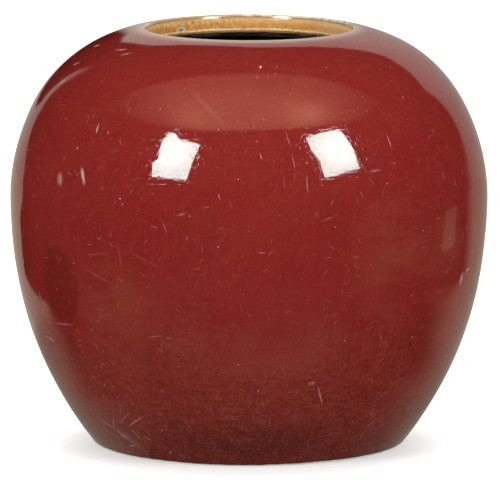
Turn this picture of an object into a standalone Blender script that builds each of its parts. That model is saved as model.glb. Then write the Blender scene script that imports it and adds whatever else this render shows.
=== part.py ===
"""A ginger jar without its lid: thrown clay sections, luted together, under coats of glaze.

Every piece is turned about the Z axis, so each one is a closed section in the (radius, height) plane.
All sections are cut from one wall: a chain of tangent arcs, and its parallel curves inside it.
Sizes here are in millimetres and degrees. The meshes are made in metres, with Z up and the jar
standing on Z = 0.
"""
import math

import bmesh
import bpy

METRES_PER_MM = 0.001
SEGMENTS = 48
BISECTIONS = 50
MERGE_DISTANCE = 0.01
SHARP_ANGLE = 35.0

# Outline of the jar, as (radius, turn where it ends) of the arcs that leave the belly, up and down.
# A turn is how far the outline has swung from upright: positive above the belly, negative below it.
BELLY_RADIUS = 106.0
BELLY_HEIGHT = 108.9
MOUTH_TURN = 84.0
HEEL_TURN = -38.5
ABOVE_BELLY = [(90.0, 28.0), (64.0, MOUTH_TURN)]
BELOW_BELLY = [(195.0, 12.0), (163.0, -HEEL_TURN)]

# Layers of the wall, from the outside in. Neighbouring pieces keep a gap, filled by slip or fused glass.
GAP = 0.3
OUTER_GLAZE_THICKNESS = 1.0
CLAY_THICKNESS = 5.0
LINER_THICKNESS = 0.8
CLAY_DEPTH = OUTER_GLAZE_THICKNESS + GAP
INSIDE_DEPTH = CLAY_DEPTH + CLAY_THICKNESS
LINER_DEPTH = INSIDE_DEPTH + GAP
CAVITY_DEPTH = LINER_DEPTH + LINER_THICKNESS

# Foot and floor.
GLAZE_LINE_HEIGHT = 1.1
FOOT_CONTACT_OUTER_RADIUS = 67.6
FOOT_CONTACT_INNER_RADIUS = 62.0
FOOT_INNER_RADIUS = 60.5
FOOT_CHAMFER = 1.2
FLOOR_UNDERSIDE = 6.0
FLOOR_TOP = 12.0
FLOOR_FILLET = 14.0
BASE_GLAZE_THICKNESS = 0.8
BASE_GLAZE_MARGIN = 1.0

# Seam at the belly.
LUTING_RING_HALF_HEIGHT = 6.0
LUTING_RING_FACE_HALF_HEIGHT = 3.2
LUTING_RING_THICKNESS = 1.8

# Mouth. The collar is let into the shoulder with a rebate half way through the clay.
MOUTH_RADIUS = 45.6
NECK_GLAZE_THICKNESS = 0.8
NECK_GLAZE_TOP = 183.2
NECK_GLAZE_BOTTOM = 176.2
COLLAR_BOTTOM = 175.6
REBATE_TURN = 65.0
REBATE_DEPTH = CLAY_DEPTH + CLAY_THICKNESS / 2
COLLAR_RADIUS = MOUTH_RADIUS + NECK_GLAZE_THICKNESS + GAP

# Fineness of the faceted sections, in degrees of turn for each step.
STEP_ABOVE = 9.5
STEP_BELOW = 6.5
STEP_FILLET = 15.0


def wall_point(depth, turn):
    """Point of the curve that runs `depth` inside the outline, where it has swung by `turn` degrees."""
    arcs = ABOVE_BELLY if turn >= 0 else BELOW_BELLY
    radius = BELLY_RADIUS - depth
    rise = 0.0
    start = 0.0
    target = math.radians(abs(turn))
    for arc_radius, end_turn in arcs:
        last_arc = end_turn == arcs[-1][1]
        end = target if last_arc else min(math.radians(end_turn), target)
        radius -= (arc_radius - depth) * (math.cos(start) - math.cos(end))
        rise += (arc_radius - depth) * (math.sin(end) - math.sin(start))
        if end == target:
            break
        start = end
    return radius, BELLY_HEIGHT + math.copysign(rise, turn)


def wall_curve(depth, first_turn, last_turn):
    """Points of the parallel curve at `depth`, evenly spaced in turn from one end to the other."""
    span = last_turn - first_turn
    step = STEP_ABOVE if first_turn + last_turn > 0 else STEP_BELOW
    count = max(1, math.ceil(abs(span) / step))
    return [wall_point(depth, first_turn + span * i / count) for i in range(count + 1)]


def turn_where(depth, low, high, is_past):
    """Turn between `low` and `high` at which `is_past(point, turn)` becomes true on the curve at `depth`."""
    for _ in range(BISECTIONS):
        middle = (low + high) / 2
        if is_past(wall_point(depth, middle), middle):
            high = middle
        else:
            low = middle
    return (low + high) / 2


def turn_at_height(depth, height, low, high):
    """Turn at which the parallel curve at `depth` has climbed to `height`."""
    return turn_where(depth, low, high, lambda point, turn: point[1] >= height)


def turn_at_radius(depth, radius):
    """Turn above the belly at which the parallel curve at `depth` has closed in to `radius`."""
    return turn_where(depth, 0.0, 90.0, lambda point, turn: point[0] <= radius)


def fillet(start_turn, end_turn, radius, start):
    """Arc of `radius` that carries on from `start`, going down, from one turn to the next."""
    count = math.ceil(abs(end_turn - start_turn) / STEP_FILLET)
    first = math.radians(start_turn)
    points = []
    for i in range(1, count + 1):
        angle = math.radians(start_turn + (end_turn - start_turn) * i / count)
        across = radius * (math.cos(first) - math.cos(angle))
        down = radius * (math.sin(angle) - math.sin(first))
        points.append((start[0] - across, start[1] - down))
    return points


def floor_corner(depth):
    """Inside corner between the wall and the floor at `depth`, from the floor up to the wall."""
    into_clay = depth - INSIDE_DEPTH
    corner_radius = FLOOR_FILLET - into_clay
    floor = FLOOR_TOP + into_clay

    def fillet_clears_floor(point, turn):
        return point[1] - corner_radius * (1 - math.sin(math.radians(-turn))) >= floor

    turn = turn_where(depth, HEEL_TURN, 0.0, fillet_clears_floor)
    arc = fillet(-turn, 90.0, corner_radius, wall_point(depth, turn))
    return turn, arc[::-1]


def at_height(points, index, height):
    """The same points, with the one at `index` moved to `height`, as at a seam cut square."""
    moved = list(points)
    moved[index] = (moved[index][0], height)
    return moved


def foot_ring():
    top = FLOOR_UNDERSIDE - GAP
    outer_turn = turn_at_height(CLAY_DEPTH, top, HEEL_TURN, 0.0)
    side = wall_curve(CLAY_DEPTH, HEEL_TURN, outer_turn)
    return [
        (FOOT_CONTACT_INNER_RADIUS, 0.0),
        (FOOT_CONTACT_OUTER_RADIUS, 0.0),
        *side,
        (FOOT_INNER_RADIUS, top),
        (FOOT_INNER_RADIUS, FOOT_CHAMFER),
    ]


def base_glaze():
    top = FLOOR_UNDERSIDE - GAP
    bottom = top - BASE_GLAZE_THICKNESS
    edge = FOOT_INNER_RADIUS - BASE_GLAZE_MARGIN
    return [(0.0, bottom), (edge - BASE_GLAZE_THICKNESS / 2, bottom), (edge, top), (0.0, top)]


def lower_body():
    seam = BELLY_HEIGHT - GAP / 2
    outer_turn = turn_at_height(CLAY_DEPTH, FLOOR_UNDERSIDE, HEEL_TURN, 0.0)
    outside = at_height(wall_curve(CLAY_DEPTH, outer_turn, 0.0), -1, seam)
    corner_turn, corner = floor_corner(INSIDE_DEPTH)
    inside = corner + at_height(wall_curve(INSIDE_DEPTH, corner_turn, 0.0), -1, seam)
    return [(0.0, FLOOR_UNDERSIDE), *outside, *inside[::-1], (0.0, FLOOR_TOP)]


def upper_body():
    seam = BELLY_HEIGHT + GAP / 2
    collar_turn = turn_at_height(INSIDE_DEPTH, COLLAR_BOTTOM, 0.0, MOUTH_TURN)
    outside = at_height(wall_curve(CLAY_DEPTH, 0.0, REBATE_TURN), 0, seam)
    ledge = wall_curve(REBATE_DEPTH, REBATE_TURN, collar_turn)
    inside = at_height(wall_curve(INSIDE_DEPTH, 0.0, collar_turn), 0, seam)
    return [*outside, *ledge, *inside[::-1]]


def mouth_ring():
    clearance = math.degrees(GAP / (ABOVE_BELLY[-1][0] - INSIDE_DEPTH))
    collar_turn = turn_at_height(INSIDE_DEPTH, COLLAR_BOTTOM, 0.0, MOUTH_TURN) + clearance
    flange_depth = REBATE_DEPTH - GAP
    top = wall_curve(CLAY_DEPTH, REBATE_TURN + clearance, turn_at_radius(CLAY_DEPTH, COLLAR_RADIUS))
    flange_underside = wall_curve(flange_depth, REBATE_TURN + clearance, collar_turn)
    corner = (wall_point(INSIDE_DEPTH, collar_turn)[0], COLLAR_BOTTOM)
    return [*top, (COLLAR_RADIUS, COLLAR_BOTTOM), corner, *flange_underside[::-1]]


def belly_luting_ring():
    half_turn_below = turn_at_height(LINER_DEPTH, BELLY_HEIGHT - LUTING_RING_HALF_HEIGHT, HEEL_TURN, 0.0)
    half_turn_above = turn_at_height(LINER_DEPTH, BELLY_HEIGHT + LUTING_RING_HALF_HEIGHT, 0.0, MOUTH_TURN)
    face = BELLY_RADIUS - LINER_DEPTH - LUTING_RING_THICKNESS
    return [
        wall_point(LINER_DEPTH, half_turn_below),
        (BELLY_RADIUS - LINER_DEPTH, BELLY_HEIGHT),
        wall_point(LINER_DEPTH, half_turn_above),
        (face, BELLY_HEIGHT + LUTING_RING_FACE_HALF_HEIGHT),
        (face, BELLY_HEIGHT - LUTING_RING_FACE_HALF_HEIGHT),
    ]


def outer_glaze():
    glaze_line_turn = turn_at_height(0.0, GLAZE_LINE_HEIGHT, HEEL_TURN, 0.0)
    outside = glaze_curve(0.0, glaze_line_turn)
    inside = glaze_curve(OUTER_GLAZE_THICKNESS, glaze_line_turn)
    return [*outside, *inside[::-1]]


def glaze_curve(depth, glaze_line_turn):
    below = wall_curve(depth, glaze_line_turn, 0.0)
    above = wall_curve(depth, 0.0, MOUTH_TURN)
    return below + above[1:]


def neck_glaze():
    outer = MOUTH_RADIUS + NECK_GLAZE_THICKNESS
    return [
        (MOUTH_RADIUS, NECK_GLAZE_BOTTOM),
        (outer, NECK_GLAZE_BOTTOM),
        (outer, NECK_GLAZE_TOP),
        (MOUTH_RADIUS, NECK_GLAZE_TOP),
    ]


def liner_glaze():
    outside = liner_curve(LINER_DEPTH, COLLAR_BOTTOM - GAP)
    inside = liner_curve(CAVITY_DEPTH, COLLAR_BOTTOM - GAP - LINER_THICKNESS)
    return [*outside, *inside[::-1]]


def liner_curve(depth, ceiling):
    """Curve at `depth` from the middle of the floor, over the luting ring, to the mouth."""
    past_wall = depth - LINER_DEPTH
    reach = LUTING_RING_HALF_HEIGHT + GAP + past_wall
    face_reach = LUTING_RING_FACE_HALF_HEIGHT + GAP + past_wall
    face = BELLY_RADIUS - depth - LUTING_RING_THICKNESS - GAP
    corner_turn, corner = floor_corner(depth)
    below = turn_at_height(depth, BELLY_HEIGHT - reach, HEEL_TURN, 0.0)
    above = turn_at_height(depth, BELLY_HEIGHT + reach, 0.0, MOUTH_TURN)
    ceiling_turn = turn_at_height(depth, ceiling, 0.0, MOUTH_TURN)
    return [
        (0.0, corner[0][1]),
        *corner,
        *wall_curve(depth, corner_turn, below),
        (face, BELLY_HEIGHT - face_reach),
        (face, BELLY_HEIGHT + face_reach),
        *wall_curve(depth, above, ceiling_turn),
        (COLLAR_RADIUS, ceiling),
    ]


def ceramic_material(name, colour, roughness):
    material = bpy.data.materials.new(name)
    material.use_nodes = True
    shader = material.node_tree.nodes["Principled BSDF"]
    shader.inputs["Base Color"].default_value = (*colour, 1.0)
    shader.inputs["Roughness"].default_value = roughness
    shader.inputs["Metallic"].default_value = 0.0
    material.diffuse_color = (*colour, 1.0)
    return material


def turned_piece(name, section, colour, roughness):
    """Turn a section about Z into one closed mesh. A section that starts on the axis also ends there."""
    mesh = bpy.data.meshes.new(name)
    bm = bmesh.new()
    verts = [bm.verts.new((r * METRES_PER_MM, 0.0, z * METRES_PER_MM)) for r, z in section]
    edges = [bm.edges.new(pair) for pair in zip(verts, verts[1:])]
    if section[0][0] > 0.0:
        edges.append(bm.edges.new((verts[-1], verts[0])))
    bmesh.ops.spin(
        bm, geom=verts + edges, cent=(0, 0, 0), axis=(0, 0, 1), angle=math.tau, steps=SEGMENTS,
        use_merge=True,
    )
    bmesh.ops.remove_doubles(bm, verts=bm.verts, dist=MERGE_DISTANCE * METRES_PER_MM)
    bmesh.ops.recalc_face_normals(bm, faces=bm.faces)
    bm.to_mesh(mesh)
    bm.free()
    mesh.shade_smooth()
    mesh.set_sharp_from_angle(angle=math.radians(SHARP_ANGLE))
    mesh.materials.append(ceramic_material(name, colour, roughness))
    piece = bpy.data.objects.new(name, mesh)
    bpy.context.scene.collection.objects.link(piece)
    return piece


CLAY = (0.72, 0.62, 0.48)
COPPER_RED = (0.26, 0.012, 0.012)
AMBER = (0.42, 0.17, 0.035)
DARK_BROWN = (0.035, 0.02, 0.014)
CREAM = (0.68, 0.62, 0.48)

PIECES = [
    (foot_ring, CLAY, 0.8),
    (lower_body, CLAY, 0.8),
    (belly_luting_ring, CLAY, 0.8),
    (upper_body, CLAY, 0.8),
    (mouth_ring, CLAY, 0.8),
    (outer_glaze, COPPER_RED, 0.08),
    (neck_glaze, AMBER, 0.12),
    (liner_glaze, DARK_BROWN, 0.3),
    (base_glaze, CREAM, 0.2),
]


def main():
    for obj in list(bpy.data.objects):
        bpy.data.objects.remove(obj, do_unlink=True)
    for section, colour, roughness in PIECES:
        turned_piece(section.__name__, section(), colour, roughness)


main()
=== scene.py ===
"""Looks of the ginger jar: fine turned surfaces, glazes, and a small product-photography set.

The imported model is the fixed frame. Each visible coat or ring is turned again here at high
resolution, on the same outline of tangent arcs, and stands for its CAD node.
Lengths on the jar are in millimetres, like its own design, and become metres when a mesh is made.
Lengths of the set are in metres. Angles round the jar are from the front, positive towards +X.
"""

import math

import bpy
import numpy as np
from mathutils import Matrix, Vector


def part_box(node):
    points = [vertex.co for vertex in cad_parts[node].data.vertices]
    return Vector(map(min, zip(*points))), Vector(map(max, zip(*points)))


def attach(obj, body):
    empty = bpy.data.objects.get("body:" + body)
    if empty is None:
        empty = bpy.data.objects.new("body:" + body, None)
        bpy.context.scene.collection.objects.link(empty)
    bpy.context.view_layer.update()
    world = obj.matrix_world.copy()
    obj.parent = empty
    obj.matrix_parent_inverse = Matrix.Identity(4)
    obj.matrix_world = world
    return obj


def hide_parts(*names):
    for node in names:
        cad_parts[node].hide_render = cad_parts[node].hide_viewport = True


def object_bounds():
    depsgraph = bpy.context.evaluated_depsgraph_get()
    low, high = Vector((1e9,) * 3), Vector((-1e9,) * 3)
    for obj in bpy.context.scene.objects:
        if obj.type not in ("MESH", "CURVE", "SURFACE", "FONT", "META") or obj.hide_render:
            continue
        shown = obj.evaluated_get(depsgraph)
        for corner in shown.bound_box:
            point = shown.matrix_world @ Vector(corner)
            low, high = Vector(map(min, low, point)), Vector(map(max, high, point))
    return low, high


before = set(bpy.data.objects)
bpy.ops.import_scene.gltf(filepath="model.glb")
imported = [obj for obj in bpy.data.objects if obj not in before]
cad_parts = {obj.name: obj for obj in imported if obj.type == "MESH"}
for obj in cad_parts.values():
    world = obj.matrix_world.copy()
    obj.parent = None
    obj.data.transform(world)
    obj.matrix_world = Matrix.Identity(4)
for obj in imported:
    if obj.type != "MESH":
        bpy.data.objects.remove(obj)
CAD_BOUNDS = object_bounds()
METRES_PER_MM = 0.001


def in_mm(box):
    """Both corners of a box."""
    return [Vector(corner) / METRES_PER_MM for corner in box]


# ---- Sizes, read from the frame where it has them ----

LOW, HIGH = in_mm(CAD_BOUNDS)
FOOT_TOP = in_mm(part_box("foot_ring"))[1].z
NECK_LOW, NECK_HIGH = in_mm(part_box("neck_glaze"))
COLLAR_LOW, COLLAR_HIGH = in_mm(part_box("mouth_ring"))
LINER_LOW, LINER_HIGH = in_mm(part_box("liner_glaze"))
BASE_LOW, BASE_HIGH = in_mm(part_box("base_glaze"))

SEAM_GAP = 0.3
COAT_THICKNESS = 1.0
CLAY_THICKNESS = 5.0
THIN_COAT = 0.8
CLAY_DEPTH = COAT_THICKNESS + SEAM_GAP
CAVITY_DEPTH = CLAY_DEPTH + CLAY_THICKNESS + SEAM_GAP + THIN_COAT

BELLY_RADIUS = (HIGH.x - LOW.x) / 2
BELLY_HEIGHT = in_mm(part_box("lower_body"))[1].z + SEAM_GAP / 2
MOUTH_RADIUS = NECK_HIGH.x - THIN_COAT
COLLAR_RADIUS = NECK_HIGH.x + SEAM_GAP
COAT_JOINT_HEIGHT = NECK_HIGH.z - 0.3

# The outline, as (arc radius, turn from upright where the arc ends), going up and down from the belly.
ABOVE_BELLY = [(90.0, 28.0), (64.0, 84.0)]
BELOW_BELLY = [(195.0, 12.0), (163.0, 38.5)]
LIP_TURN = 83.0
FLARE_HEIGHT = 4.2
FLOOR_FILLET = 12.9


# ---- Outline ----

def side_of_wall(depth, turn, arcs):
    """How far the curve at `depth` has closed in and risen after turning by `turn` radians."""
    closed_in = np.zeros_like(turn)
    rise = np.zeros_like(turn)
    start = 0.0
    for arc_radius, end_turn in arcs:
        limit = math.radians(end_turn) if (arc_radius, end_turn) != arcs[-1] else math.pi
        end = np.clip(turn, start, limit)
        closed_in += (arc_radius - depth) * (math.cos(start) - np.cos(end))
        rise += (arc_radius - depth) * (np.sin(end) - math.sin(start))
        start = limit
    return closed_in, rise


def wall(depth, turn):
    """Radius and height of the curve `depth` inside the outline, where it has turned by `turn` degrees."""
    turn = np.asarray(turn, float)
    size = np.radians(np.abs(turn))
    in_above, rise_above = side_of_wall(depth, size, ABOVE_BELLY)
    in_below, rise_below = side_of_wall(depth, size, BELOW_BELLY)
    above = turn >= 0
    radius = BELLY_RADIUS - depth - np.where(above, in_above, in_below)
    height = BELLY_HEIGHT + np.where(above, rise_above, -rise_below)
    return radius, height


def wall_points(depth, turns):
    return np.stack(wall(depth, turns), axis=1)


def turn_at_height(depth, height):
    """Turn at which the curve at `depth` passes each height."""
    turns = np.linspace(-45.0, 89.0, 1600)
    return np.interp(height, wall(depth, turns)[1], turns)


def even_turns(depth, first, last, count):
    """Turns from `first` to `last` that cut the curve at `depth` into equal lengths."""
    turns = np.linspace(first, last, 800)
    length = distance_along(wall_points(depth, turns))
    return np.interp(np.linspace(0.0, length[-1], count), length, turns)


def distance_along(section):
    steps = np.hypot(*np.diff(section, axis=0).T)
    return np.concatenate([[0.0], np.cumsum(steps)])


LIP_TOP = wall(0.0, LIP_TURN)


def mouth_flare(height):
    """Radius of the mouth's wall: upright, then out to the top of the lip in a quarter ellipse."""
    share = np.clip((height - LIP_TOP[1]) / FLARE_HEIGHT + 1.0, 0.0, 1.0)
    return MOUTH_RADIUS + (LIP_TOP[0] - MOUTH_RADIUS) * (1.0 - np.sqrt(1.0 - share ** 2))


def arc(centre, radius, first, last, count):
    """Points of a circular arc in the section plane, with angles in degrees from the +radius direction."""
    angles = np.radians(np.linspace(first, last, count))
    return np.stack([centre[0] + radius * np.cos(angles), centre[1] + radius * np.sin(angles)], axis=1)


def softened(corners, radius, steps=5):
    """A closed polygon with each corner cut back by `radius` and rounded by a quadratic curve."""
    corners = np.asarray(corners, float)
    points = []
    for before, corner, after in zip(np.roll(corners, 1, 0), corners, np.roll(corners, -1, 0)):
        enter = corner + (before - corner) * min(0.45, radius / np.linalg.norm(before - corner))
        leave = corner + (after - corner) * min(0.45, radius / np.linalg.norm(after - corner))
        for s in np.linspace(0.0, 1.0, steps):
            points.append(enter * (1 - s) ** 2 + corner * 2 * s * (1 - s) + leave * s ** 2)
    return np.array(points)


# ---- Meshes ----

SEGMENTS = 384
ANGLES = np.arange(SEGMENTS) * 2 * math.pi / SEGMENTS


def waves(seed, along, amplitude, lobes=(2, 7), wavelengths=(30.0, 90.0), count=9):
    """Gentle unevenness of hand-thrown work: a sum of waves round the jar and along its wall."""
    rng = np.random.default_rng(seed)
    total = np.zeros((len(along), SEGMENTS))
    for _ in range(count):
        lobe = rng.integers(lobes[0], lobes[1] + 1)
        wavelength = rng.uniform(*wavelengths)
        phase = rng.uniform(0.0, 2 * math.pi, 2)
        around = np.sin(lobe * ANGLES + phase[0])
        total += around[None, :] * np.sin(2 * math.pi * along / wavelength + phase[1])[:, None]
    return amplitude * total / math.sqrt(count)


def fade(index, first, last):
    """Rises over the rows up to `first`, and falls over the ten rows after `last`."""
    rising = np.clip(index / first, 0.0, 1.0)
    falling = np.clip((last + 10 - index) / 10.0, 0.0, 1.0)
    return rising * falling


def placed(name, data):
    """A new object for `data`, in the scene."""
    obj = bpy.data.objects.new(name, data)
    bpy.context.scene.collection.objects.link(obj)
    return obj


def mesh_object(name, vertices, faces, material):
    mesh = bpy.data.meshes.new(name)
    mesh.from_pydata(vertices, [], faces)
    mesh.materials.append(material)
    return placed(name, mesh)


def all_round(section):
    """The same section for every angle."""
    return np.repeat(section[:, None, :], SEGMENTS, axis=1)


def outward_normals(section):
    """Unit normals of a section that runs up the outside, pointing away from the axis side."""
    tangent = np.gradient(section, axis=0)
    normal = np.stack([tangent[:, 1], -tangent[:, 0]], axis=1)
    return normal / np.maximum(np.linalg.norm(normal, axis=1, keepdims=True), 1e-9)


def turned(name, section, material, relief=None, closed=True):
    """Turn a section, in (radius, height), into a mesh. `relief` moves each point along its normal.

    A closed section makes a ring, and an open one, which starts and ends by the axis, makes a lens.
    The section is one row of points, or a row of points for each angle.
    """
    if section.ndim == 2:
        section = all_round(section)
    if relief is not None:
        normals = outward_normals(section[:, 0, :])
        section = section + normals[:, None, :] * relief[:, :, None]
    radius, height = section[..., 0], section[..., 1]
    points = np.stack([radius * np.sin(ANGLES), -radius * np.cos(ANGLES), height], axis=-1)
    rows = len(section)
    nexts = [(j, (j + 1) % SEGMENTS) for j in range(SEGMENTS)]
    faces = []
    for i in range(rows if closed else rows - 1):
        lower, upper = i * SEGMENTS, (i + 1) % rows * SEGMENTS
        faces += [(lower + j, lower + k, upper + k, upper + j) for j, k in nexts]
    vertices = points.reshape(-1, 3)
    if not closed:
        first_pole, last_pole = len(vertices), len(vertices) + 1
        poles = [(0.0, 0.0, height[0].mean()), (0.0, 0.0, height[-1].mean())]
        vertices = np.vstack([vertices, poles])
        top = (rows - 1) * SEGMENTS
        for j, k in nexts:
            faces.append((first_pole, k, j))
            faces.append((last_pole, top + j, top + k))
    piece = mesh_object(name, (vertices * METRES_PER_MM).tolist(), faces, material)
    piece.data.update()
    piece.data.shade_smooth()
    return piece


def dress(piece, node):
    """Ride on the jar's one body, and stand for a CAD node."""
    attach(piece, "root")
    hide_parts(node)


# ---- Shader building ----

class Graph:
    """The nodes of a material or a world. Most methods add a node and return its output socket."""

    def __init__(self, owner):
        owner.use_nodes = True
        self.nodes = owner.node_tree.nodes
        self.links = owner.node_tree.links

    def put(self, socket, value):
        """Link a socket to `socket`, or set its value."""
        if isinstance(value, bpy.types.NodeSocket):
            self.links.new(value, socket)
        elif isinstance(value, tuple) and len(value) == 3 and len(socket.default_value) == 4:
            socket.default_value = (*value, 1.0)
        else:
            socket.default_value = value

    def add(self, kind, inputs=(), **settings):
        """Add a node with the given settings, and with inputs given by name or by number."""
        node = self.nodes.new(f"ShaderNode{kind}")
        for name, value in settings.items():
            setattr(node, name, value)
        for name, value in dict(inputs).items():
            self.put(node.inputs[name], value)
        return node

    def math(self, operation, a, b=0.0, c=0.0):
        return self.add("Math", {0: a, 1: b, 2: c}, operation=operation).outputs[0]

    def times(self, product, *others):
        for other in others:
            product = self.math("MULTIPLY", product, other)
        return product

    def plus(self, a, b):
        return self.math("ADD", a, b)

    def larger(self, a, b):
        return self.math("MAXIMUM", a, b)

    def scaled(self, value, factor, offset):
        """value * factor + offset"""
        return self.math("MULTIPLY_ADD", value, factor, offset)

    def vector(self, operation, a, b=(0.0, 0.0, 0.0)):
        node = self.add("VectorMath", {0: a, 1: b}, operation=operation)
        return node.outputs["Value" if operation in ("LENGTH", "DISTANCE") else "Vector"]

    def combine(self, x, y, z):
        return self.add("CombineXYZ", {0: x, 1: y, 2: z}).outputs[0]

    def ramp(self, value, low, high, at_low=0.0, at_high=1.0):
        """Smooth ramp from `at_low` to `at_high`. `low` may be the larger limit."""
        inputs = {"Value": value, "From Min": low, "From Max": high, "To Min": at_low, "To Max": at_high}
        return self.add("MapRange", inputs, interpolation_type="SMOOTHSTEP").outputs["Result"]

    def mix(self, amount, a, b):
        return self.add("Mix", {"Factor": amount, 6: a, 7: b}, data_type="RGBA").outputs[2]


class Shading(Graph):
    """A material for a piece of the jar. `colour` is its colour so far."""

    colour = None

    def __init__(self, name):
        self.material = bpy.data.materials.new(name)
        super().__init__(self.material)
        self.shader = self.nodes["Principled BSDF"]
        coordinates = self.add("TexCoord").outputs["Object"]
        self.position = self.vector("MULTIPLY", coordinates, (1 / METRES_PER_MM,) * 3)
        x, y, self.height = self.add("SeparateXYZ", {0: self.position}).outputs
        self.radius = self.math("SQRT", self.plus(self.times(x, x), self.times(y, y)))
        self.angle = self.math("ARCTAN2", x, self.times(y, -1.0))

    def texture_place(self, size, around, up, shift):
        """Position in units of `size`. A smaller factor draws the pattern out, sideways or upright."""
        scaled = self.vector("MULTIPLY", self.position, (around / size, around / size, up / size))
        return self.vector("ADD", scaled, shift)

    def noise(self, size, detail=2.0, roughness=0.5, around=1.0, up=1.0, seed=0.0):
        """Noise from 0 to 1 whose blobs are about `size` millimetres across."""
        place = self.texture_place(size, around, up, (seed, seed * 1.7, seed * 0.6))
        inputs = {"Vector": place, "Scale": 1.0, "Detail": detail, "Roughness": roughness}
        return self.add("TexNoise", inputs).outputs["Fac"]

    def cells(self, size, feature="F1", warp=0.0, up=1.0, seed=0.0):
        """Voronoi cells about `size` millimetres across: the node, for its distance and colour."""
        place = self.texture_place(size, 1.0, up, (seed, seed, seed))
        if warp:
            wobble = self.combine(*(self.noise(size, seed=axis) for axis in (3.0, 5.0, 7.0)))
            place = self.vector("ADD", place, self.vector("MULTIPLY", wobble, (warp,) * 3))
        return self.add("TexVoronoi", {"Vector": place, "Scale": 1.0}, feature=feature)

    def spots(self, cells, outer, inner, share):
        """Soft spots in the middle of about `share` of the cells, picked at random."""
        own_number = self.add("SeparateColor", {0: cells.outputs["Color"]}).outputs[0]
        picked = self.ramp(own_number, 1.0 - share, 1.0)
        return self.times(self.ramp(cells.outputs["Distance"], outer, inner), picked)

    def between(self, value, low, high, soft):
        """1 where value lies from low to high, fading over `soft` at both ends."""
        rising = self.ramp(value, low - soft, low + soft)
        falling = self.ramp(value, high + soft, high - soft)
        return self.times(rising, falling)

    def unrolled(self, shift=None):
        """The wall laid flat: way round it at MARK_RADIUS, and height, both moved by `shift`."""
        around, height = self.times(self.angle, MARK_RADIUS), self.height
        if shift is not None:
            around, height = self.plus(around, shift), self.plus(height, shift)
        return self.combine(around, height, 0.0)

    def stamp(self, flat, middle, size, tilt=0.0):
        """`flat` as seen from `middle`, leaning by `tilt` degrees from upright, in units of `size`."""
        turn = (0.0, 0.0, -math.radians(tilt))
        inputs = {"Vector": flat, "Location": (*middle, 0.0), "Rotation": turn, "Scale": (*size, 1.0)}
        return self.add("Mapping", inputs, vector_type="TEXTURE").outputs[0]

    def lay(self, colour, *amounts):
        """Lay a colour over the colour so far, by the product of the amounts."""
        self.colour = self.mix(self.times(*amounts), self.colour, colour)

    def finish(self, roughness, relief):
        """Set the surface. `relief` is in millimetres."""
        bump = {"Strength": 1.0, "Distance": METRES_PER_MM, "Height": relief}
        self.put(self.shader.inputs["Normal"], self.add("Bump", bump).outputs["Normal"])
        self.put(self.shader.inputs["Base Color"], self.colour)
        self.put(self.shader.inputs["Roughness"], roughness)
        return self.material


# ---- Colours ----

RED = (0.28, 0.0195, 0.0172)
RED_STREAK = (0.258, 0.019, 0.016)
VEIL = (0.3, 0.044, 0.029)
OXBLOOD = (0.125, 0.013, 0.0115)
LIVER_DARK = (0.19, 0.019, 0.015)
LIVER_LIGHT = (0.295, 0.033, 0.023)
SPECK = (0.38, 0.115, 0.065)
THREAD_PALE = (0.36, 0.09, 0.058)
FLECK = (0.56, 0.27, 0.18)
# Pale of the scuffs and scratches, also used for the painted glints.
BRUISE_AND_GLINT = (0.76, 0.54, 0.47)
FOOT_BROWN = (0.1, 0.015, 0.011)
FOOT_EDGE = (0.14, 0.045, 0.03)
LIP_CREAM = (0.9, 0.81, 0.62)
LIP_AMBER = (0.56, 0.36, 0.15)
LIP_LINE = (0.48, 0.24, 0.1)
LIP_THIN = (0.64, 0.42, 0.31)
AMBER = (0.95, 0.5, 0.14)
AMBER_DEEP = (0.92, 0.35, 0.058)
AMBER_PALE = (0.99, 0.77, 0.45)
AMBER_DARK = (0.16, 0.048, 0.011)
AMBER_RUN = (0.42, 0.15, 0.03)
# A brown edge darkened to near black: painted shade where the amber coat turns under.
UNDER_BROWN_AND_SHADE = (0.03, 0.012, 0.006)
UNDER_AMBER = (0.38, 0.16, 0.038)
# The bead's own yellow, made paler as a painted highlight of the light it catches.
BEAD_YELLOW_AND_HIGHLIGHT = (0.98, 0.9, 0.58)
BEAD_BROWN = (0.36, 0.14, 0.03)
FLAW_GREY = (0.23, 0.19, 0.195)
# Dark glaze inside, painted near black: partly painted shade of the inside of the jar.
LINER_DARK_AND_SHADE = (0.014, 0.011, 0.0085)
LINER_BROWN_AND_SHADE = (0.03, 0.021, 0.0145)
LINER_PIT = (0.12, 0.08, 0.05)
CLAY = (0.56, 0.44, 0.3)
CLAY_DARK = (0.15, 0.085, 0.05)
CLAY_GRAIN = (0.08, 0.045, 0.03)
BASE_CREAM = (0.66, 0.6, 0.47)
BASE_GREY = (0.52, 0.5, 0.43)
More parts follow.
